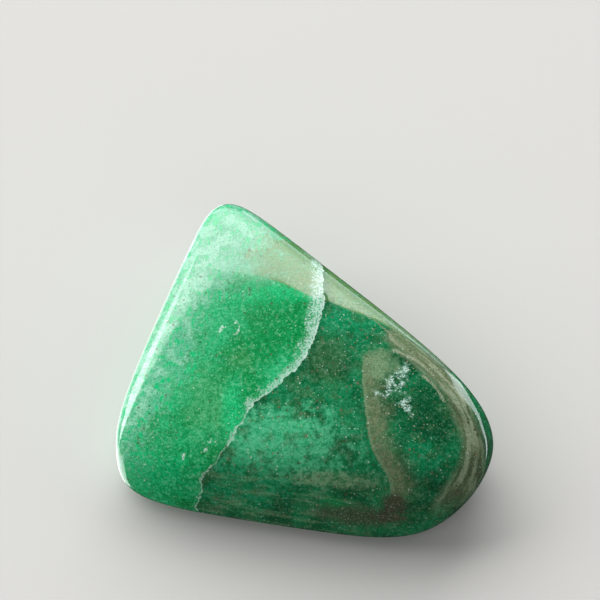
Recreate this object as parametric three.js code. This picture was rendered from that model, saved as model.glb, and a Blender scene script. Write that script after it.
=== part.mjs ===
// A tumbled, polished aventurine: one convex stone whose worn flats run softly into one another.
// Millimetres, +Z up, +X along the longest side. The origin is on the plane the stone rests on,
// under the middle of its box.

import * as THREE from 'three';
import { mergeVertices } from 'three/addons/utils/BufferGeometryUtils.js';

// Each flat faces an azimuth (degrees from +X towards +Y) and a tilt (degrees above level), and lies at a
// distance from the heart of the stone. These few flats set the whole outline.
const CRISP_FLATS = [
  { name: 'top, left half', azimuth: 218, tilt: 73, distance: 5.5 },
  { name: 'left wall', azimuth: 157.5, tilt: 2, distance: 12.95 },
];
const SOFT_FLATS = [
  { name: 'top, right half', azimuth: 310, tilt: 80, distance: 6.4 },
  { name: 'crest slope', azimuth: 47, tilt: 52, distance: 7.2 },
  { name: 'back wall', azimuth: 46, tilt: 2, distance: 6.25 },
  { name: 'back underside', azimuth: 46, tilt: -44, distance: 7.4 },
  { name: 'front slope', azimuth: 262, tilt: 46, distance: 10.6 },
  { name: 'front wall', azimuth: 260, tilt: 12, distance: 12.8 },
  { name: 'front right corner', azimuth: 312, tilt: 4, distance: 20.1 },
  { name: 'right end', azimuth: 340, tilt: 0, distance: 20.6 },
  { name: 'right slope', azimuth: 345, tilt: 50, distance: 13.2 },
  { name: 'right underside', azimuth: 335, tilt: -45, distance: 14.6 },
  { name: 'right back corner', azimuth: 16, tilt: 8, distance: 13.8 },
  { name: 'apex', azimuth: 113, tilt: 12, distance: 19.8 },
  { name: 'apex underside', azimuth: 115, tilt: -35, distance: 14.8 },
  { name: 'left corner', azimuth: 208, tilt: 3, distance: 20.0 },
  { name: 'left underside', azimuth: 146, tilt: -44, distance: 11.4 },
  { name: 'underside', azimuth: 0, tilt: -90, distance: 5.2 },
];

// The higher the power, the tighter the edge between neighbouring flats.
const CRISP_POWER = 18;
const SOFT_POWER = 8;

// Depth of the underside worn away to the flat that the stone rests on, from its lowest soft point.
const REST_WEAR = 0.12;

// Rough half-sizes of the stone, which spread its surface points evenly over a flat shape.
const HALF_SIZES = new THREE.Vector3(16, 15, 6);

// Each of the twenty triangles that the surface starts from is cut into (SPLITS + 1) squared.
const SPLITS = 16;

// Points closer than this on the starting ball are one point.
const SAME_POINT = 1e-4;

// The stone's own look, before any marking: a glossy mid green.
const STONE_GREEN = 0x2f8f5f;
const POLISH_ROUGHNESS = 0.12;

function facing({ azimuth, tilt }) {
  const turn = THREE.MathUtils.degToRad(azimuth);
  const rise = THREE.MathUtils.degToRad(tilt);
  return new THREE.Vector3(
    Math.cos(rise) * Math.cos(turn),
    Math.cos(rise) * Math.sin(turn),
    Math.sin(rise),
  );
}

// Makes a function that says how strongly a set of flats holds the surface in along a direction.
function heldBy(flats, power) {
  const pulls = flats.map((flat) => facing(flat).divideScalar(flat.distance));
  return (direction) => {
    const total = pulls.reduce((sum, pull) => sum + Math.max(0, pull.dot(direction)) ** power, 0);
    return total ** (1 / power);
  };
}

const crispHold = heldBy(CRISP_FLATS, CRISP_POWER);
const softHold = heldBy(SOFT_FLATS, SOFT_POWER);

// Distance from the heart to the surface. In the middle of a flat it is that flat's plane, and between
// flats the surface rounds off.
function reach(direction) {
  const hold = crispHold(direction) ** SOFT_POWER + softHold(direction) ** SOFT_POWER;
  return hold ** (-1 / SOFT_POWER);
}

function stoneGeometry() {
  const ball = new THREE.IcosahedronGeometry(1, SPLITS);
  ball.deleteAttribute('normal');
  ball.deleteAttribute('uv');
  const skin = mergeVertices(ball, SAME_POINT);
  const points = skin.getAttribute('position');
  const point = new THREE.Vector3();
  for (let i = 0; i < points.count; i += 1) {
    point.fromBufferAttribute(points, i).multiply(HALF_SIZES).normalize();
    point.multiplyScalar(reach(point));
    points.setXYZ(i, point.x, point.y, point.z);
  }

  // Wear the underside flat.
  skin.computeBoundingBox();
  const restLevel = skin.boundingBox.min.z + REST_WEAR;
  for (let i = 0; i < points.count; i += 1) {
    points.setZ(i, Math.max(points.getZ(i), restLevel));
  }

  // Stand the stone on the origin, under the middle of its box.
  skin.computeBoundingBox();
  const middle = skin.boundingBox.getCenter(new THREE.Vector3());
  skin.translate(-middle.x, -middle.y, -restLevel);
  skin.computeVertexNormals();
  return skin;
}

function stoneMesh() {
  const polish = new THREE.MeshStandardMaterial({
    color: STONE_GREEN,
    roughness: POLISH_ROUGHNESS,
    metalness: 0,
  });
  const stone = new THREE.Mesh(stoneGeometry(), polish);
  stone.name = 'stone';
  return stone;
}

const aventurine = new THREE.Group();
aventurine.add(stoneMesh());

export default aventurine;
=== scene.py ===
"""A tumbled, polished aventurine: the stone's surface, its colours and a plain studio around it.

Laid out as a Blender add-on. The tables below are in millimetres, and what goes to Blender is in metres.
"""

import math

import bpy
import numpy as np
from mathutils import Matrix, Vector, noise


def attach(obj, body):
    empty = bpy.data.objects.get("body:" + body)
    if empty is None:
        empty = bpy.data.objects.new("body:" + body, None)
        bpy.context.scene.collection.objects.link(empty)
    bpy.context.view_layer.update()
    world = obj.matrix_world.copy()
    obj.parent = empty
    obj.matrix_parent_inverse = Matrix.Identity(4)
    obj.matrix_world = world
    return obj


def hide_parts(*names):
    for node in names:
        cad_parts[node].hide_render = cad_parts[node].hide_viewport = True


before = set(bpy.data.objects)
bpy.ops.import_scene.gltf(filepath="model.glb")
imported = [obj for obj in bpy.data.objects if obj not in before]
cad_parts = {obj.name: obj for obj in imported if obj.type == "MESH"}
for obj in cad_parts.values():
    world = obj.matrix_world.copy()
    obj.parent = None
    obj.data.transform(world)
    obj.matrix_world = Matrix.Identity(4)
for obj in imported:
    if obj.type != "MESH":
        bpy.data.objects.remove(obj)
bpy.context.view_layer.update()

bl_info = {
    "name": "Tumbled aventurine",
    "version": (1, 0, 0),
    "blender": (4, 5, 0),
    "location": "3D View > Sidebar > Aventurine",
    "description": "Builds a polished green stone with its vein, bands and flecks, and a studio around it",
    "category": "Object",
}

MM = 0.001
STONE_NODE = "stone"
STONE_BODY = "root"

# The worn flats that shape the stone: name, azimuth from +X towards +Y, tilt above level in degrees, and
# distance from the heart. A higher power makes a tighter edge between neighbouring flats.
CRISP_FLATS = (
    ("top, left half", 218, 73, 5.5),
    ("left wall", 157.5, 2, 12.95),
)
SOFT_FLATS = (
    ("top, right half", 310, 80, 6.4),
    ("crest slope", 47, 52, 7.2),
    ("back wall", 46, 2, 6.25),
    ("back underside", 46, -44, 7.4),
    ("front slope", 262, 46, 10.6),
    ("front wall", 260, 12, 12.8),
    ("front right corner", 312, 4, 20.1),
    ("right end", 340, 0, 20.6),
    ("right slope", 345, 50, 13.2),
    ("right underside", 335, -45, 14.6),
    ("right back corner", 16, 8, 13.8),
    ("apex", 113, 12, 19.8),
    ("apex underside", 115, -35, 14.8),
    ("left corner", 208, 3, 20.0),
    ("left underside", 146, -44, 11.4),
    ("underside", 0, -90, 5.2),
)
CRISP_POWER = 18
SOFT_POWER = 8
HALF_SIZES = (16.0, 15.0, 6.0)

# Paths of the markings, seen from above. Each marking goes straight down through the stone from its path.
VEIN_PATH = (
    (1.2, 12.0), (1.5, 6.9), (1.7, 4.0), (1.6, 2.0), (1.1, 0.2), (0.4, -1.9), (-0.6, -3.4), (-2.6, -5.0),
    (-4.4, -6.2), (-5.1, -7.5), (-5.8, -8.7), (-6.8, -9.8), (-8.0, -10.9), (-9.2, -12.5),
)
# The crest path bounds a painted reflection of the window, drawn as a tan band.
CREST_PATH = (
    (-9.0, 6.2), (-6.5, 5.8), (-4.9, 5.5), (-3.2, 4.9), (-1.6, 4.1), (0.5, 2.9), (2.1, 2.3), (3.8, 1.5),
    (5.3, 1.0), (7.2, 0.1), (9.1, -0.9), (10.6, -2.0),
)
# The milky zone along the left edge is cloudy quartz and a painted reflection of the window.
MILKY_PATH = (
    (-2.0, 9.0), (-5.4, 4.6), (-6.6, 2.5), (-7.6, 0.6), (-9.3, -3.3), (-11.7, -6.3), (-14.0, -9.5),
)
IRON_PATH = (
    (5.6, -1.6), (4.9, -2.6), (4.7, -4.1), (4.8, -6.5), (5.0, -8.5), (5.3, -10.1), (6.0, -11.4),
    (6.8, -12.4), (7.0, -13.2), (7.0, -14.5),
)
# The rim band is iron brown, streaked with painted reflections.
RIM_PATH = (
    (7.5, -0.8), (10.4, -3.3), (12.0, -5.2), (13.1, -7.8), (13.5, -9.6), (13.3, -11.2), (12.3, -12.8),
    (10.5, -14.5),
)
# Thin pale arcs inside the rim, painted reflections.
REFLECTED_ARC_PATHS = (
    ((7.2, -2.0), (8.5, -2.5), (9.6, -3.2), (10.4, -4.0)),
    ((9.5, -4.1), (10.5, -5.0), (11.2, -6.2)),
    ((10.2, -3.0), (11.1, -3.9), (12.1, -5.0), (12.9, -6.1)),
)
# The patch of white crackle, and scratch-like cracks elsewhere.
CRACKLE_PATHS = (
    ((5.8, -5.8), (6.6, -5.9), (7.3, -5.5), (7.8, -4.9), (8.0, -4.2), (8.2, -3.3)),
    ((7.5, -4.3), (6.9, -4.9), (6.7, -5.6)),
    ((8.3, -5.8), (8.0, -6.7), (8.5, -7.5)),
)
CRACK_PATHS = (
    ((-7.0, 0.4), (-6.8, 0.8), (-6.7, 1.1)),
    ((-6.4, 1.05), (-6.0, 1.1), (-5.5, 1.3)),
    ((-5.3, 0.8), (-5.4, 0.4), (-5.7, 0.2)),
    ((-9.8, -9.5), (-9.5, -9.2), (-9.1, -9.1)),
    ((-8.0, -9.2), (-7.7, -8.8), (-7.4, -8.3)),
)

# Clouds of colour inside the stone: middle, radii, colour setting and strength.
LEFT_CLOUDS = (
    ((-2.4, 3.3, 10.4), (4.0, 1.5, 2.0), "bright", 0.85),
    ((-2.8, 0.4, 9.9), (3.4, 3.0, 2.5), "deep", 0.9),
    ((-4.2, -4.2, 8.9), (1.4, 1.6, 1.6), "deep", 0.6),
    ((-5.2, -2.1, 8.9), (1.4, 1.2, 1.5), "moss", 0.55),
    ((-7.8, -5.6, 7.6), (2.2, 4.0, 2.5), "moss", 0.6),
    ((-5.9, -6.2, 8.0), (0.9, 2.4, 2.0), "bright", 0.6),
    ((-11.5, -10.0, 4.2), (4.2, 2.4, 3.2), "bright", 0.75),
)
RIGHT_CLOUDS = (
    ((3.2, 0.7, 10.8), (3.0, 2.0, 1.6), "jade", 0.8),
    ((1.9, -2.8, 10.2), (2.0, 3.0, 1.6), "stain", 0.55),
    ((-2.0, -9.4, 7.8), (6.6, 3.6, 3.4), "pale", 0.9),
    ((9.6, -7.4, 9.2), (2.6, 3.2, 2.0), "dark", 0.9),
    ((9.4, -10.8, 8.0), (2.2, 1.8, 1.8), "jade", 0.75),
    ((-5.5, -12.0, 5.0), (4.5, 2.6, 2.8), "jade", 0.8),
    ((2.4, -12.0, 6.5), (5.0, 1.0, 0.9), "beige_and_sheen", 0.7),
)
FRONT_CLOUDS = (
    ((6.1, -3.4, 9.9), (1.7, 1.6, 1.6), "beige_and_sheen", 0.85),
    ((2.5, -13.0, 4.4), (1.3, 1.0, 0.8), "deep", 0.6),
    ((4.2, -13.5, 3.5), (4.8, 1.6, 1.4), "umber", 0.7),
    ((7.2, -13.2, 5.2), (1.3, 1.2, 1.5), "umber", 0.8),
    ((6.8, -13.6, 3.8), (1.6, 1.2, 1.3), "umber", 0.7),
)
CREST_CLOUDS = (
    ((-4.5, 7.6, 10.8), (0.7, 1.0, 1.0), "ochre", 0.6),
    ((0.3, 4.4, 11.0), (0.9, 0.7, 1.0), "ochre", 0.5),
)

# Scattered grains: colour setting, spacing, radius, and the share of places that hold one, first left and
# then right of the vein.
SPECKS = (
    # The pale specks are mica grains painted as glints.
    ("mica_glint", 0.25, 0.052, 0.10, 0.28),
    ("frost", 0.36, 0.065, 0.25, 0.25),
    ("rust", 0.45, 0.115, 0.15, 0.60),
    ("dark", 0.45, 0.120, 0.25, 0.30),
)

# The left wall faces this azimuth and tilt. Along that direction the cloudy markings of the top, with the
# reflections painted into them, fade out.
LEFT_WALL = (157.5, 2)
LEFT_FADE_START = 12.1
LEFT_FADE_END = 12.7

# The step at the vein rises over the first length and dies away over the second.
VEIN_STEP_RISE = 0.2
VEIN_STEP_TAIL = 1.5

# The polish and the cloudy depth of the quartz.
POLISH_ROUGHNESS = (0.05, 0.09)
QUARTZ_IOR = 1.55
DEPTH_WEIGHT = 0.12
DEPTH_REACH = 1.0
DEPTH_BY_COLOUR = (0.3, 1.0, 0.6)

# Panels that light the stone: name, azimuth, metres away, then their edges as angles seen from the stone,
# right and left of that azimuth and at the bottom and top above level, and the brightness setting.
LAMPS = (
    ("window_glow", 118, 0.9, 56, 67, 3, 64, "glow"),
    ("front_fill", 250, 1.0, 50, 50, 20, 60, "fill"),
    ("back_fill", 40, 1.0, 40, 40, 5, 50, "fill"),
)

# Shapes that show in the polish, as columns of azimuth, lowest and highest angle above level in degrees.
WINDOW_COLUMNS = (
    (62, 6, 20), (64, 6, 35), (71, 6, 49), (83, 6, 58), (105, 6, 65), (116, 0, 65), (126, -30, 64),
    (137, -26, 63), (145, -20, 61), (151, -14, 57), (157, -8, 48),
)
EDGE_COLUMNS = (
    (124, -32, 2), (132, -26, 20), (138, -14, 31), (142, 3, 39), (147, 19, 47), (157, 23, 47),
    (163, 18, 42), (169, 8, 33), (175, -8, 12),
)
CORNER_COLUMNS = ((96, -62, -38), (120, -62, -14), (150, -62, -14), (170, -62, -16), (190, -56, -20))
RIM_COLUMNS = (
    (12, -36, -20), (15, -22, 2), (19, -4, 10), (24, 2, 14), (30, 4, 24), (36, 6, 34), (42, 4, 32),
    (48, -4, 18), (54, -14, 6),
)
CREST_COLUMNS = ((56, -12, 2), (62, -8, 8), (70, -8, 8), (78, -10, 4))

# Panels that show in the polish: name of the panel and of its brightness setting, columns, metres away,
# share of the brightness left at its low end, tint.
SHINES = (
    ("window_shine", WINDOW_COLUMNS, 0.7, 0.35, (1.0, 1.0, 1.0)),
    ("edge_shine", EDGE_COLUMNS, 0.6, 1.0, (1.0, 1.0, 1.0)),
    ("corner_shine", CORNER_COLUMNS, 0.5, 1.0, (1.0, 1.0, 1.0)),
    ("rim_shine", RIM_COLUMNS, 0.6, 1.0, (0.9, 0.96, 1.0)),
    ("crest_shine", CREST_COLUMNS, 0.5, 1.0, (0.86, 0.92, 1.0)),
)
# Heights between which a panel comes to full brightness, as shares of how far away it is.
SHINE_LOW = 0.1
SHINE_HIGH = 0.65

# Noise mostly keeps within a sixth either side of its middle.
NOISE_SPREAD = 3.0


def length(title, about, millimetres):
    """A length setting, given in millimetres."""
    return bpy.props.FloatProperty(
        name=title, description=about, default=millimetres * MM, unit="LENGTH", precision=6
    )


def colour(title, about, red, green, blue):
    """A colour setting, in linear light."""
    return bpy.props.FloatVectorProperty(
        name=title, description=about, default=(red, green, blue), subtype="COLOR", size=3, min=0.0, max=1.0
    )


def light(title, about, brightness):
    """A brightness setting."""
    return bpy.props.FloatProperty(name=title, description=about, default=brightness, min=0.0)


class AventurineStone(bpy.types.PropertyGroup):
    """Sizes and colours of the stone."""

    cuts: bpy.props.IntProperty(
        name="Surface cuts",
        description="Squares along each edge of the cube that the skin starts from",
        default=124,
    )
    rest_wear: length("Rest wear", "Depth of the underside worn away to a flat", 0.12)
    swell: length("Swell", "Height of the slow waves that tumbling leaves in the polish", 0.008)
    swell_span: length("Swell span", "Length of those waves", 5.0)
    vein_step: length("Vein step", "Height of the fine step at the healed fracture", 0.03)

    bright: colour("Bright green", "Clearest green, near the crest", 0.006, 0.45, 0.16)
    leaf: colour("Leaf green", "Common green left of the vein", 0.02, 0.37, 0.14)
    deep: colour("Deep green", "Saturated green in the middle", 0.003, 0.24, 0.062)
    moss: colour("Moss green", "Green with a little iron", 0.06, 0.28, 0.10)
    jade: colour("Jade green", "Clear green right of the vein", 0.005, 0.25, 0.10)
    teal: colour("Teal green", "Common green right of the vein", 0.008, 0.185, 0.07)
    # Dark green also paints the shadow beside the vein step and the dark streaks of the front's painted
    # reflection.
    dark: colour("Dark green", "Darkest green near the right end", 0.003, 0.082, 0.028)
    pale: colour("Pale green", "Cloudy patch right of the vein", 0.065, 0.42, 0.205)
    stain: colour("Stained green", "Brownish green beside the vein", 0.05, 0.14, 0.055)
    # Beige paints pale stains, and the pale streaks of the painted reflections over the front edge and at
    # the crest's right end.
    beige_and_sheen: colour("Beige", "Pale streaks over the front edge and in the rim", 0.17, 0.28, 0.15)
    # Mint is partly cloudy quartz and partly a painted reflection of the window.
    mint_sheen: colour("Mint", "Cloudy green along the left edge and the apex", 0.10, 0.42, 0.24)
    quartz: colour("Quartz", "Pale grains among the green", 0.34, 0.64, 0.48)
    # Tan of the painted reflection along the crest.
    tan: colour("Tan", "Crest band", 0.11, 0.24, 0.075)
    # Pale of the painted reflections along the right rim, in its streaks and thin arcs.
    linen_sheen: colour("Linen", "Thin pale arcs inside the rim", 0.34, 0.38, 0.26)
    ochre: colour("Ochre", "Small iron blotches in the crest band", 0.16, 0.20, 0.05)
    brown: colour("Iron brown", "Iron bands", 0.15, 0.19, 0.10)
    umber: colour("Umber", "Darkest iron stains", 0.065, 0.048, 0.034)
    frost: colour("Frost", "Healed fracture and crackle", 0.62, 0.75, 0.71)
    # Pale mica grains, painted as glints.
    mica_glint: colour("Pale speck", "Light specks of mica and quartz", 0.66, 0.66, 0.44)
    rust: colour("Rust speck", "Rusty specks", 0.20, 0.10, 0.07)


class AventurineStage(bpy.types.PropertyGroup):
    """The studio around the stone."""

    floor_colour: colour("Floor", "Colour of the plain floor", 0.50, 0.495, 0.48)
    backdrop: colour("Backdrop", "Colour seen past the floor", 0.70, 0.70, 0.69)
    floor_width: length("Floor width", "Side of the square floor", 8000.0)
    glow: light("Window glow", "Brightness of the wide window as a light", 4.4)
    window_shine: light("Window shine", "Brightness of the wide window as a reflection", 5.6)
    edge_shine: light("Edge shine", "Brightness of the low window's reflection along the left edge", 11.5)
    corner_shine: light("Corner shine", "Brightness of the panel mirrored in the lower left corner", 2.6)
    rim_shine: light("Rim shine", "Brightness of the strip's reflection along the right rim", 5.0)
    crest_shine: light("Crest shine", "Brightness of the thin reflection along the crest", 2.2)
    fill: light("Fill", "Brightness of the soft panels that lift the shadows", 1.2)
    sky: light("Sky", "Brightness of the even light from all round", 0.04)
    camera_rise: bpy.props.FloatProperty(
        name="Camera rise", description="Angle of the view above level", subtype="ANGLE",
        default=math.radians(55.0),
    )
    camera_field: bpy.props.FloatProperty(
        name="Field of view", description="Angle across the picture", subtype="ANGLE",
        default=math.radians(13.7),
    )
    camera_distance: length("Camera distance", "From the lens to the point it looks at", 211.6)
    camera_aim: bpy.props.FloatVectorProperty(
        name="Camera aim", description="Point in the middle of the picture", unit="LENGTH", size=3,
        default=(-0.33 * MM, 7.08 * MM, 4.33 * MM),
    )


# The stone's shape


def facing(azimuth, tilt):
    """The direction that a flat faces."""
    turn, rise = math.radians(azimuth), math.radians(tilt)
    return (math.cos(rise) * math.cos(turn), math.cos(rise) * math.sin(turn), math.sin(rise))


def held_by(flats, power, directions):
    """How strongly a set of flats holds the surface in along each direction."""
    pulls = np.array([np.array(facing(azimuth, tilt)) / distance for _, azimuth, tilt, distance in flats])
    return (np.maximum(0.0, directions @ pulls.T) ** power).sum(axis=1) ** (1 / power)


def reach(directions):
    """Distance from the heart of the stone to its surface along each direction."""
    crisp = held_by(CRISP_FLATS, CRISP_POWER, directions) ** SOFT_POWER
    soft = held_by(SOFT_FLATS, SOFT_POWER, directions) ** SOFT_POWER
    return (crisp + soft) ** (-1 / SOFT_POWER)


def ball(cuts):
    """Points and squares of a cube blown up to a ball."""
    steps = np.tan(np.linspace(-math.pi / 4, math.pi / 4, cuts + 1))
    across, along = np.meshgrid(steps, steps, indexing="ij")
    side = np.stack([across, along, np.ones_like(across)], axis=-1).reshape(-1, 3)
    first = (np.arange(cuts)[:, None] * (cuts + 1) + np.arange(cuts)).reshape(-1)
    squares = np.stack([first, first + cuts + 1, first + cuts + 2, first + 1], axis=-1)
    points, faces = [], []
    for turn in range(3):
        for sign in (1, -1):
            faces.append(squares[:, ::sign] + len(points) * len(side))
            points.append(np.roll(side, turn, axis=1) * sign)
    merged, place = np.unique(np.round(np.concatenate(points), 9), axis=0, return_inverse=True)
    return merged, place.reshape(-1)[np.concatenate(faces)]


def smooth_path(path, steps=12):
    """Points close together on the smooth curve through the points of a path."""
    knots = np.array(path, float)
    ends = np.concatenate([[2 * knots[0] - knots[1]], knots, [2 * knots[-1] - knots[-2]]])
    share = np.linspace(0, 1, steps, endpoint=False)[:, None]
    runs = []
    for before, start, end, after in zip(ends, ends[1:], ends[2:], ends[3:]):
        pull = (end - before) / 2
        push = (after - start) / 2
        lean = 3 * (end - start) - 2 * pull - push
        bend = 2 * (start - end) + pull + push
        runs.append(start + pull * share + lean * share**2 + bend * share**3)
    return np.concatenate(runs + [knots[-1:]])


def gap_to(path, points):
    """Distance in millimetres from each point to a path seen from above, positive on its left-hand side."""
    line = smooth_path(path)
    best = np.full(len(points), np.inf)
    gap = np.zeros(len(points))
    for start, end in zip(line, line[1:]):
        way = end - start
        offset = points[:, :2] - start
        share = np.clip(offset @ way / (way @ way), 0, 1)
        apart = np.linalg.norm(offset - share[:, None] * way, axis=1)
        side = np.sign(way[0] * offset[:, 1] - way[1] * offset[:, 0])
        nearer = apart < best
        best[nearer] = apart[nearer]
        gap[nearer] = (side * apart)[nearer]
    return gap


def gap_to_any(paths, points):
    """Distance in millimetres from each point to the nearest of some paths."""
    return np.min([np.abs(gap_to(path, points)) for path in paths], axis=0)


def stone_skin(look):
    """Points in millimetres, squares, and the gaps to the marking paths."""
    start, squares = ball(look.cuts)
    directions = start * HALF_SIZES
    directions /= np.linalg.norm(directions, axis=1)[:, None]
    points = directions * reach(directions)[:, None]
    low, high = points.min(axis=0), points.max(axis=0)
    rest_level = low[2] + look.rest_wear / MM
    points -= ((low[0] + high[0]) / 2, (low[1] + high[1]) / 2, rest_level)

    gaps = {
        "vein_gap": gap_to(VEIN_PATH, points),
        "crest_gap": gap_to(CREST_PATH, points),
        "milky_gap": -gap_to(MILKY_PATH, points),
        "iron_gap": gap_to(IRON_PATH, points),
        "rim_gap": gap_to(RIM_PATH, points),
        "reflected_arc_gap": gap_to_any(REFLECTED_ARC_PATHS, points),
        "crackle_gap": gap_to_any(CRACKLE_PATHS, points),
        "crack_gap": gap_to_any(CRACK_PATHS, points),
    }
    waves = np.array([noise.noise(Vector(point) * MM / look.swell_span) for point in points.tolist()])
    vein_gap = gaps["vein_gap"]
    step = -np.tanh(vein_gap / VEIN_STEP_RISE) * np.exp(-np.abs(vein_gap) / VEIN_STEP_TAIL)
    relief = waves * look.swell / MM + step * look.vein_step / MM / 2
    points += directions * relief[:, None]
    points[:, 2] = np.maximum(points[:, 2], 0.0)
    return points, squares, gaps


def build_stone(look):
    """The stone's mesh, with its marking gaps as attributes."""
    points, squares, gaps = stone_skin(look)
    mesh = bpy.data.meshes.new("polished_stone")
    mesh.from_pydata((points * MM).tolist(), [], squares.tolist())
    for name, gap in gaps.items():
        mesh.attributes.new(name, "FLOAT", "POINT").data.foreach_set("value", gap.astype(np.float32))
    mesh.shade_smooth()
    stone = bpy.data.objects.new("polished_stone", mesh)
    bpy.context.scene.collection.objects.link(stone)
    return stone


# The stone's material


class Nodes:
    """Short ways to add and join the nodes of one material."""

    def __init__(self, tree):
        self.tree = tree

    def add(self, kind, **settings):
        node = self.tree.nodes.new(kind)
        for name, value in settings.items():
            setattr(node, name, value)
        return node

    def feed(self, socket, value):
        """Joins an output to a socket, or sets the socket to a fixed value."""
        if isinstance(value, bpy.types.NodeSocket):
            self.tree.links.new(value, socket)
        elif socket.type == "RGBA":
            socket.default_value = (*value[:3], 1.0)
        else:
            socket.default_value = value

    def math(self, operation, first, second=0.0):
        node = self.add("ShaderNodeMath", operation=operation)
        self.feed(node.inputs[0], first)
        self.feed(node.inputs[1], second)
        return node.outputs[0]

    def sum(self, first, second):
        return self.math("ADD", first, second)

    def product(self, *values):
        result = values[0]
        for value in values[1:]:
            result = self.math("MULTIPLY", result, value)
        return result

    def sway(self, noise_value, span):
        """Noise from 0 to 1 turned into a swing of about half a span either way."""
        return self.product(self.math("SUBTRACT", noise_value, 0.5), NOISE_SPREAD * span)

    def vector(self, operation, first, second=(0.0, 0.0, 0.0)):
        node = self.add("ShaderNodeVectorMath", operation=operation)
        self.feed(node.inputs[0], first)
        self.feed(node.inputs[1], second)
        return node.outputs["Value" if operation in ("LENGTH", "DOT_PRODUCT") else "Vector"]

    def ramp(self, value, low, high, at_low=0.0, at_high=1.0, shape="SMOOTHSTEP"):
        """at_low below low, at_high above high, smooth in between."""
        node = self.add("ShaderNodeMapRange", interpolation_type=shape)
        self.feed(node.inputs["Value"], value)
        for name, bound in (("From Min", low), ("From Max", high), ("To Min", at_low), ("To Max", at_high)):
            self.feed(node.inputs[name], bound)
        return node.outputs[0]

    def fade(self, value, low, high):
        """1 below low, 0 above high."""
        return self.ramp(value, low, high, 1.0, 0.0)

    def mix(self, share, first, second, blend="MIX"):
        node = self.add("ShaderNodeMix", data_type="RGBA", blend_type=blend)
        self.feed(node.inputs[0], share)
        self.feed(node.inputs[6], first)
        self.feed(node.inputs[7], second)
        return node.outputs[2]

    def grain(self, place, span, detail=2.0):
        """Noise from 0 to 1 whose features are about span millimetres across."""
        node = self.add("ShaderNodeTexNoise")
        self.feed(node.inputs["Vector"], place)
        node.inputs["Scale"].default_value = 1.0 / span
        node.inputs["Detail"].default_value = detail
        return node.outputs[0]

    def shaken(self, place, span, swing):
        """Place shifted by noise, so that what is drawn there gets an uneven outline."""
        node = self.add("ShaderNodeTexNoise")
        self.feed(node.inputs["Vector"], place)
        node.inputs["Scale"].default_value = 1.0 / span
        offset = self.vector("SUBTRACT", node.outputs["Color"], (0.5, 0.5, 0.5))
        return self.vector("ADD", place, self.vector("MULTIPLY", offset, (swing, swing, swing)))

    def gap(self, name):
        return self.add("ShaderNodeAttribute", attribute_name=name).outputs["Fac"]

    def axes(self, place):
        node = self.add("ShaderNodeSeparateXYZ")
        self.feed(node.inputs[0], place)
        return node.outputs


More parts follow.
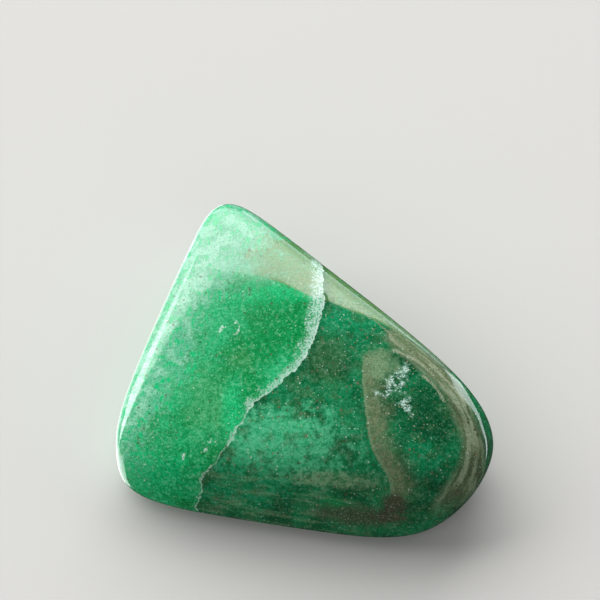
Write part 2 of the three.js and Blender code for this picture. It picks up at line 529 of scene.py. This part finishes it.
class StonePaint:
    """Builds the stone's colour up in layers, each a short function of place."""

    def __init__(self, nodes, look):
        self.n = nodes
        self.look = look
        metres = nodes.add("ShaderNodeTexCoord").outputs["Object"]
        self.place = nodes.vector("MULTIPLY", metres, (1 / MM, 1 / MM, 1 / MM))
        self.x, self.y, self.z = nodes.axes(self.place)
        self.cloud = nodes.grain(self.place, 3.0, detail=5.0)
        self.blotch = nodes.grain(self.place, 1.1, detail=4.0)
        self.mottle = nodes.grain(self.place, 0.40, detail=3.0)
        self.sand = nodes.grain(self.place, 0.15, detail=2.0)
        self.vein_gap = self.ragged(nodes.gap("vein_gap"), 0.32, 0.13)
        wall = nodes.vector("DOT_PRODUCT", self.place, facing(*LEFT_WALL))
        self.top = nodes.fade(wall, LEFT_FADE_START, LEFT_FADE_END)

    def ragged(self, gap, coarse, fine):
        """A gap whose edge wanders."""
        n = self.n
        return n.sum(gap, n.sum(n.sway(self.blotch, coarse), n.sway(self.mottle, fine)))

    def drawn_out(self, along, across, up):
        """Place squeezed along each direction, so that noise in it comes out as streaks."""
        return self.n.vector("MULTIPLY", self.place, (along, across, up))

    def patch(self, middle, radii):
        """1 in the middle of a soft oval patch, 0 outside, with a cloudy edge."""
        n = self.n
        offset = n.vector("DIVIDE", n.vector("SUBTRACT", self.place, middle), radii)
        apart = self.ragged(n.vector("LENGTH", offset), 0.45, 0.25)
        return n.fade(apart, 0.35, 1.15)

    def clouded(self, base, clouds):
        """Base with a row of soft patches laid over it."""
        for middle, radii, tint, strength in clouds:
            share = self.n.product(self.patch(middle, radii), strength)
            base = self.n.mix(share, base, getattr(self.look, tint))
        return base

    def ground(self):
        """Green that differs on the two sides of the vein."""
        n, look = self.n, self.look
        left = n.mix(n.ramp(self.cloud, 0.38, 0.64), look.leaf, look.deep)
        left = self.clouded(left, LEFT_CLOUDS)
        right = n.mix(n.ramp(self.cloud, 0.40, 0.64), look.teal, look.dark)
        right = self.clouded(right, RIGHT_CLOUDS)
        right = n.mix(n.product(n.ramp(self.blotch, 0.51, 0.63), 0.45), right, look.stain)
        return n.mix(n.ramp(self.vein_gap, -0.05, 0.05), left, right)

    def iron(self, base):
        """The brown band across the right half, crisp on its left and fading on its right."""
        n, look = self.n, self.look
        gap = self.ragged(n.gap("iron_gap"), 0.10, 0.10)
        edge = n.ramp(gap, -0.06, 0.08)
        band = n.product(edge, n.fade(n.sum(gap, n.sway(self.blotch, 0.8)), 0.6, 2.4))
        ends = n.product(n.fade(self.y, -3.0, -1.9), n.ramp(self.z, 4.8, 6.4))
        share = n.product(band, ends, n.ramp(self.mottle, 0.38, 0.62, 0.95, 0.6))
        base = n.mix(share, base, look.brown)
        return n.mix(n.product(edge, n.fade(gap, 0.08, 0.40), ends, 0.5), base, look.beige_and_sheen)

    def rim(self, base):
        """The iron-brown band inside the right rim, with pale streaks that are painted reflections, and the
        thin pale arcs beside it, also painted reflections.
        """
        n, look = self.n, self.look
        gap = self.ragged(n.gap("rim_gap"), 0.10, 0.05)
        lines = n.add("ShaderNodeCombineXYZ")
        for socket, value, squeeze in zip(lines.inputs, (gap, self.y, self.z), (2.2, 0.30, 0.30)):
            n.feed(socket, n.product(value, squeeze))
        streaks = n.grain(lines.outputs[0], 0.7, detail=2.0)
        # Painted reflection: pale streaks along the rim.
        tint = n.mix(n.product(n.ramp(streaks, 0.44, 0.62), 0.75), look.brown, look.linen_sheen)
        stained = n.product(n.fade(streaks, 0.36, 0.48), n.fade(self.y, -7.0, -3.0), 0.6)
        tint = n.mix(stained, tint, look.umber)
        share = n.product(n.fade(n.math("ABSOLUTE", gap), 0.4, 1.35), n.ramp(self.z, 3.0, 6.0), 0.85)
        base = n.mix(share, base, tint)
        # Painted reflection: thin pale arcs.
        reflected_arc = self.ragged(n.gap("reflected_arc_gap"), 0.05, 0.06)
        return n.mix(n.product(n.fade(reflected_arc, 0.03, 0.20), 0.75), base, look.linen_sheen)

    def front(self, base):
        """Painted reflection of soft pale and dark streaks along the front edge, and the iron stains below
        them.
        """
        n, look = self.n, self.look
        lines = n.grain(self.drawn_out(0.14, 0.9, 1.1), 0.55, detail=3.0)
        zone = n.product(n.fade(self.y, -11.6, -9.8), n.fade(self.z, 6.0, 7.2), n.fade(self.x, 2.5, 6.5))
        zone = n.product(zone, n.ramp(self.x, -11.5, -7.5))
        # Painted reflection: pale and dark streaks along the front edge.
        base = n.mix(n.product(zone, n.ramp(lines, 0.50, 0.66), 0.40), base, look.beige_and_sheen)
        base = n.mix(n.product(zone, n.fade(lines, 0.36, 0.50), 0.30), base, look.dark)
        return self.clouded(base, FRONT_CLOUDS)

    def mottling(self, base):
        """Grains of mica and quartz: darker and lighter spots all over."""
        n = self.n
        left = n.fade(self.vein_gap, -0.5, 0.5)
        dark = n.mix(1.0, base, (0.30, 0.76, 0.62), blend="MULTIPLY")
        base = n.mix(n.product(n.ramp(self.mottle, 0.50, 0.60), 0.8), base, dark)
        pale = n.product(n.fade(self.mottle, 0.34, 0.45), n.ramp(left, 0.0, 1.0, 0.07, 0.15))
        return n.mix(pale, base, self.look.quartz)

    def crest(self, base):
        """The band along the crest, a painted reflection of the window: tan, mint towards the apex and
        beige towards the right end.
        """
        n, look = self.n, self.look
        along = n.sum(self.x, n.sway(self.blotch, 2.0))
        tint = n.mix(n.ramp(along, -6.5, -2.5), look.mint_sheen, look.tan)
        tint = n.mix(n.ramp(along, 4.5, 9.0), tint, look.beige_and_sheen)
        tint = n.mix(n.product(n.ramp(self.blotch, 0.50, 0.66), 0.4), tint, look.moss)
        tint = self.clouded(tint, CREST_CLOUDS)
        gap = n.sum(n.gap("crest_gap"), n.sway(self.sand, 0.06))
        height = n.sum(self.z, n.sway(self.cloud, 1.5))
        zone = n.product(n.ramp(gap, -0.05, 0.07), n.ramp(height, 7.5, 9.5), self.top)
        return n.mix(n.product(zone, n.ramp(self.mottle, 0.45, 0.65, 0.95, 0.65)), base, tint)

    def milk_and_sheen(self, base):
        """Cloudy quartz and a painted reflection of the window on the top along the left edge, breaking up
        into mint spots and green flecks.
        """
        n, look = self.n, self.look
        gap = n.sum(n.gap("milky_gap"), n.sway(self.cloud, 2.2))
        share = n.ramp(gap, -2.8, 3.6, 0.0, 1.0, "LINEAR")
        spots = self.ragged(share, 0.40, 0.55)
        cover = n.ramp(spots, 0.25, 0.95, 0.0, 0.92)
        flecks = n.grain(self.drawn_out(1.5, 0.7, 1.0), 0.45, detail=3.0)
        green = n.product(n.ramp(flecks, 0.52, 0.58), n.ramp(self.blotch, 0.42, 0.52), 0.9)
        base = n.mix(n.product(cover, self.top), base, look.mint_sheen)
        pale = n.fade(n.sum(self.blotch, n.sway(self.mottle, 0.12)), 0.42, 0.54)
        base = n.mix(n.product(pale, cover, self.top, 0.55), base, look.quartz)
        return n.mix(n.product(green, n.ramp(share, 0.1, 0.6), self.top), base, look.bright)

    def vein(self, base):
        """A white granular healed fracture, broad at the back and thin at the front, with a painted shadow
        on its right.
        """
        n, look = self.n, self.look
        gap = self.vein_gap
        width = n.ramp(self.y, -9.0, 4.0, 0.22, 1.5, "LINEAR")
        depth = n.math("DIVIDE", n.sum(gap, n.sway(self.blotch, 0.5)), width)
        dense = n.product(n.ramp(depth, -1.1, -0.1), n.fade(gap, -0.03, 0.03))
        grains = n.ramp(n.sum(self.sand, n.product(dense, 0.16)), 0.57, 0.67)
        # Painted shadow beside the vein step, on its right.
        painted_step_shadow = n.product(n.ramp(gap, 0.0, 0.05), n.fade(gap, 0.05, 0.6))
        base = n.mix(n.product(painted_step_shadow, n.ramp(self.y, -8.0, 2.0, 0.1, 0.45)), base, look.dark)
        strength = n.ramp(self.y, -11.0, 3.0, 0.4, 0.85)
        base = n.mix(n.product(grains, n.ramp(dense, 0.0, 0.2), strength), base, look.frost)
        base = n.mix(n.product(dense, strength, 0.25), base, look.quartz)
        line = n.product(n.ramp(gap, -0.14, -0.08), n.fade(gap, -0.03, 0.03), strength)
        return n.mix(n.product(line, n.ramp(self.mottle, 0.40, 0.56, 1.0, 0.25)), base, look.frost)

    def crackle(self, base):
        """White crushed grains in the crackle patch, and a few short cracks."""
        n, look = self.n, self.look
        gap = self.ragged(n.gap("crackle_gap"), 0.35, 0.45)
        dense = n.fade(gap, -0.10, 0.40)
        grains = n.ramp(n.sum(self.sand, n.product(dense, 0.13)), 0.60, 0.68)
        base = n.mix(n.product(dense, 0.3), base, look.quartz)
        base = n.mix(n.product(grains, n.ramp(dense, 0.0, 0.25)), base, look.frost)
        gap = self.ragged(n.gap("crack_gap"), 0.12, 0.20)
        cracks = n.product(n.fade(gap, 0.02, 0.11), n.ramp(self.sand, 0.40, 0.55), 0.9)
        return n.mix(cracks, base, look.frost)

    def specks(self, base):
        """Scattered grains, more of them right of the vein; the pale specks are mica grains painted as
        glints.
        """
        n = self.n
        right = n.ramp(self.vein_gap, -1.0, 1.0)
        shaken = n.shaken(self.place, 0.25, 0.15)
        for tint, span, radius, left_share, right_share in SPECKS:
            cells = n.add("ShaderNodeTexVoronoi")
            n.feed(cells.inputs["Vector"], shaken)
            cells.inputs["Scale"].default_value = 1.0 / span
            chance = n.add("ShaderNodeSeparateColor")
            n.feed(chance.inputs[0], cells.outputs["Color"])
            share = n.ramp(right, 0.0, 1.0, left_share, right_share, "LINEAR")
            picked = n.math("LESS_THAN", chance.outputs[0], share)
            size = n.ramp(chance.outputs[1], 0.0, 1.0, radius / span * 0.6, radius / span * 1.3, "LINEAR")
            dot = n.fade(cells.outputs["Distance"], n.product(size, 0.5), size)
            base = n.mix(n.product(dot, picked, 0.55), base, getattr(self.look, tint))
        return base

    def sanding(self, base):
        """Fine grain over everything."""
        n = self.n
        dark = n.mix(1.0, base, (0.62, 0.72, 0.68), blend="MULTIPLY")
        base = n.mix(n.ramp(self.sand, 0.48, 0.66), base, dark)
        pale = n.product(n.fade(self.sand, 0.32, 0.43), n.ramp(self.vein_gap, -0.5, 0.5, 0.20, 0.12))
        return n.mix(pale, base, self.look.quartz)

    def colour(self):
        """The ground with every layer over it, in order."""
        base = self.ground()
        for layer in (
            self.mottling, self.iron, self.rim, self.front, self.crest, self.milk_and_sheen,
            self.vein, self.crackle, self.specks, self.sanding,
        ):
            base = layer(base)
        return base


def stone_material(look):
    """Polished quartz: cloudy greens under a clear gloss."""
    material = bpy.data.materials.new("aventurine")
    material.use_nodes = True
    nodes = Nodes(material.node_tree)
    shader = material.node_tree.nodes["Principled BSDF"]
    paint = StonePaint(nodes, look)
    nodes.feed(shader.inputs["Base Color"], paint.colour())
    nodes.feed(shader.inputs["Roughness"], nodes.ramp(paint.mottle, 0.35, 0.65, *POLISH_ROUGHNESS))
    shader.inputs["IOR"].default_value = QUARTZ_IOR
    shader.inputs["Subsurface Weight"].default_value = DEPTH_WEIGHT
    shader.inputs["Subsurface Radius"].default_value = DEPTH_BY_COLOUR
    shader.inputs["Subsurface Scale"].default_value = DEPTH_REACH * MM
    return material


# The studio


def floor_material(stage):
    """Plain pale board."""
    material = bpy.data.materials.new("pale_floor")
    material.use_nodes = True
    shader = material.node_tree.nodes["Principled BSDF"]
    shader.inputs["Base Color"].default_value = (*stage.floor_colour, 1.0)
    shader.inputs["Roughness"].default_value = 0.8
    shader.inputs["Specular IOR Level"].default_value = 0.1
    return material


def add_floor(stage):
    """A matt floor that the polish doesn't mirror."""
    half = stage.floor_width / 2
    mesh = bpy.data.meshes.new("floor")
    corners = [(-half, -half, 0), (half, -half, 0), (half, half, 0), (-half, half, 0)]
    mesh.from_pydata(corners, [], [(0, 1, 2, 3)])
    mesh.materials.append(floor_material(stage))
    floor = bpy.data.objects.new("floor", mesh)
    floor.visible_glossy = False
    bpy.context.scene.collection.objects.link(floor)


def add_lamp(name, azimuth, away, right, left, bottom, top, brightness):
    """An upright panel, away metres off towards an azimuth, that lights but doesn't show in the polish.

    Its edges are angles seen from the stone: right and left of its own azimuth, bottom and top above level.
    """
    x_right, x_left = (away * math.tan(math.radians(side)) for side in (right, left))
    z_low, z_high = (away * math.tan(math.radians(rise)) for rise in (bottom, top))
    width, height = x_right + x_left, z_high - z_low
    lamp = bpy.data.lights.new(name, "AREA")
    lamp.shape = "RECTANGLE"
    lamp.size, lamp.size_y = width, height
    lamp.energy = brightness * math.pi * width * height
    panel = bpy.data.objects.new(name, lamp)
    outward = Vector(facing(azimuth, 0))
    rightward = Vector((outward.y, -outward.x, 0.0))
    middle = Vector((0.0, 0.0, (z_low + z_high) / 2))
    panel.location = outward * away + rightward * (x_right - x_left) / 2 + middle
    panel.rotation_euler = outward.to_track_quat("Z", "Y").to_euler()
    panel.visible_camera = False
    panel.visible_glossy = False
    bpy.context.scene.collection.objects.link(panel)


def shine_material(name, away, brightness, low_share, tint):
    """Plain glow that dims towards its low end."""
    material = bpy.data.materials.new(name)
    material.use_nodes = True
    nodes = Nodes(material.node_tree)
    material.node_tree.nodes.remove(material.node_tree.nodes["Principled BSDF"])
    glow = nodes.add("ShaderNodeEmission")
    height = nodes.axes(nodes.add("ShaderNodeTexCoord").outputs["Object"])[2]
    nodes.feed(glow.inputs["Color"], tint)
    strength = nodes.ramp(height, SHINE_LOW * away, SHINE_HIGH * away, brightness * low_share, brightness)
    nodes.feed(glow.inputs["Strength"], strength)
    nodes.feed(material.node_tree.nodes["Material Output"].inputs["Surface"], glow.outputs[0])
    return material


def add_shine(name, columns, away, brightness, low_share, tint):
    """A curved panel, away metres off, that shows in the polish but doesn't light.

    Its columns are an azimuth, a lowest and a highest angle above level, seen from the stone.
    """
    points = [Vector(facing(azimuth, angle)) * away for azimuth, *span in columns for angle in span]
    faces = [(first, first + 1, first + 3, first + 2) for first in range(0, len(points) - 2, 2)]
    mesh = bpy.data.meshes.new(name)
    mesh.from_pydata(points, [], faces)
    mesh.materials.append(shine_material(name, away, brightness, low_share, tint))
    panel = bpy.data.objects.new(name, mesh)
    panel.visible_camera = False
    panel.visible_diffuse = False
    panel.visible_shadow = False
    bpy.context.scene.collection.objects.link(panel)


def add_lights(stage):
    """The panels that light the stone, and the panels that its polish mirrors."""
    for *panel, setting in LAMPS:
        add_lamp(*panel, getattr(stage, setting))
    for name, columns, away, low_share, tint in SHINES:
        add_shine(name, columns, away, getattr(stage, name), low_share, tint)


def add_sky(stage):
    """Faint even light, with a pale backdrop where the camera looks past the floor."""
    world = bpy.data.worlds.new("studio")
    world.use_nodes = True
    nodes = Nodes(world.node_tree)
    back = world.node_tree.nodes["Background"]
    seen = nodes.add("ShaderNodeLightPath").outputs["Is Camera Ray"]
    nodes.feed(back.inputs["Color"], nodes.mix(seen, (stage.sky, stage.sky, stage.sky), stage.backdrop))
    bpy.context.scene.world = world


def add_camera(stage):
    """A camera in front of the stone that looks down on it."""
    lens = bpy.data.cameras.new("camera")
    lens.sensor_width = 36.0
    lens.lens = lens.sensor_width / 2 / math.tan(stage.camera_field / 2)
    lens.clip_start = 0.01
    camera = bpy.data.objects.new("camera", lens)
    forward = Vector((0.0, math.cos(stage.camera_rise), -math.sin(stage.camera_rise)))
    camera.location = Vector(stage.camera_aim) - forward * stage.camera_distance
    camera.rotation_euler = (math.pi / 2 - stage.camera_rise, 0.0, 0.0)
    bpy.context.scene.collection.objects.link(camera)
    bpy.context.scene.camera = camera


# Operators, panel and running


class AVENTURINE_OT_stone(bpy.types.Operator):
    """Build the polished stone in the place of its solid"""

    bl_idname = "aventurine.stone"
    bl_label = "Build stone"

    def execute(self, context):
        look = context.scene.aventurine_stone
        stone = build_stone(look)
        stone.data.materials.append(stone_material(look))
        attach(stone, STONE_BODY)
        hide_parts(STONE_NODE)
        return {"FINISHED"}


class AVENTURINE_OT_stage(bpy.types.Operator):
    """Set up the floor, the lights and the camera"""

    bl_idname = "aventurine.stage"
    bl_label = "Set up studio"

    def execute(self, context):
        stage = context.scene.aventurine_stage
        add_floor(stage)
        add_lights(stage)
        add_sky(stage)
        add_camera(stage)
        context.scene.view_settings.view_transform = "Standard"
        return {"FINISHED"}


class AVENTURINE_PT_panel(bpy.types.Panel):
    """Lists the steps and their settings"""

    bl_idname = "AVENTURINE_PT_panel"
    bl_label = "Aventurine"
    bl_space_type = "VIEW_3D"
    bl_region_type = "UI"
    bl_category = "Aventurine"

    def draw(self, context):
        for operator, settings in (
            (AVENTURINE_OT_stone, context.scene.aventurine_stone),
            (AVENTURINE_OT_stage, context.scene.aventurine_stage),
        ):
            box = self.layout.box()
            box.operator(operator.bl_idname)
            for name in settings.__annotations__:
                box.prop(settings, name)


CLASSES = (AventurineStone, AventurineStage, AVENTURINE_OT_stone, AVENTURINE_OT_stage, AVENTURINE_PT_panel)


def register():
    for item in CLASSES:
        bpy.utils.register_class(item)
    bpy.types.Scene.aventurine_stone = bpy.props.PointerProperty(type=AventurineStone)
    bpy.types.Scene.aventurine_stage = bpy.props.PointerProperty(type=AventurineStage)


def unregister():
    del bpy.types.Scene.aventurine_stage
    del bpy.types.Scene.aventurine_stone
    for item in reversed(CLASSES):
        bpy.utils.unregister_class(item)


def main():
    register()
    bpy.ops.aventurine.stone()
    bpy.ops.aventurine.stage()


if __name__ == "__main__":
    main()
